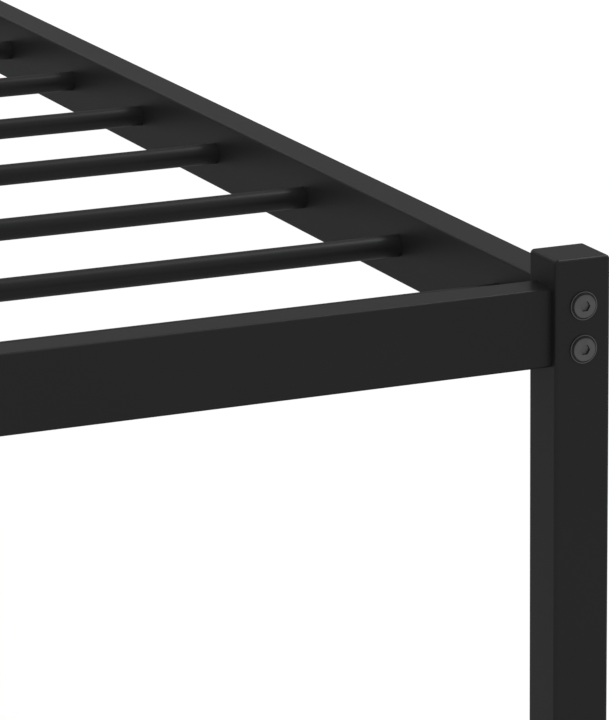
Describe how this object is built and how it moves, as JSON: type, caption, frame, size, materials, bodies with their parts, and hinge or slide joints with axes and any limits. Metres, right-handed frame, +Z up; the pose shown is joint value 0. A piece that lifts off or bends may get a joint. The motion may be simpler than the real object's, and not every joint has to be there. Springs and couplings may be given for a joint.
{
  "type": "bed frame",
  "caption": "Low black metal bed frame: square legs, rectangular rails bolted at the corners, round cross slats set below the rail tops, and a centre beam on its own legs.",
  "frame": {"origin": "on the floor under the middle of the frame", "axes": "+Z up, +Y along the length from the foot end to the head end, +X to the right seen from the foot end"},
  "size_m": [1.03, 1.994, 0.355],
  "materials": {
    "powder_coat": "satin black powder coat",
    "bolt_black": "black oxide",
    "bare_steel": "bare",
    "foot_plastic": "matt"
  },
  "bodies": {
    "root": {"beam_bolts": "bolt_black", "beam_cradle_1": "powder_coat", "beam_cradle_2": "powder_coat", "beam_hanger_foot": "powder_coat", "beam_hanger_head": "powder_coat", "beam_nuts": "bolt_black", "centre_beam": "powder_coat", "centre_foot_1": "foot_plastic", "centre_foot_2": "foot_plastic", "centre_leg_1": "powder_coat", "centre_leg_2": "powder_coat", "corner_bolts": "bolt_black", "cross_rail_foot": "powder_coat", "cross_rail_head": "powder_coat", "foot_cap_foot_left": "foot_plastic", "foot_cap_foot_right": "foot_plastic", "foot_cap_head_left": "foot_plastic", "foot_cap_head_right": "foot_plastic", "leg_foot_left": "powder_coat", "leg_foot_right": "powder_coat", "leg_head_left": "powder_coat", "leg_head_right": "powder_coat", "leg_top_foot_left": "powder_coat", "leg_top_foot_right": "powder_coat", "leg_top_head_left": "powder_coat", "leg_top_head_right": "powder_coat", "rail_block_foot_left": "bare_steel", "rail_block_foot_right": "bare_steel", "rail_block_head_left": "bare_steel", "rail_block_head_right": "bare_steel", "side_rail_left": "powder_coat", "side_rail_right": "powder_coat", "slat_01": "powder_coat", "slat_02": "powder_coat", "slat_03": "powder_coat", "slat_04": "powder_coat", "slat_05": "powder_coat", "slat_06": "powder_coat", "slat_07": "powder_coat", "slat_08": "powder_coat", "slat_09": "powder_coat", "slat_10": "powder_coat", "slat_11": "powder_coat", "slat_12": "powder_coat", "slat_13": "powder_coat", "slat_14": "powder_coat", "slat_15": "powder_coat", "slat_16": "powder_coat"}
  },
  "joints": []
}
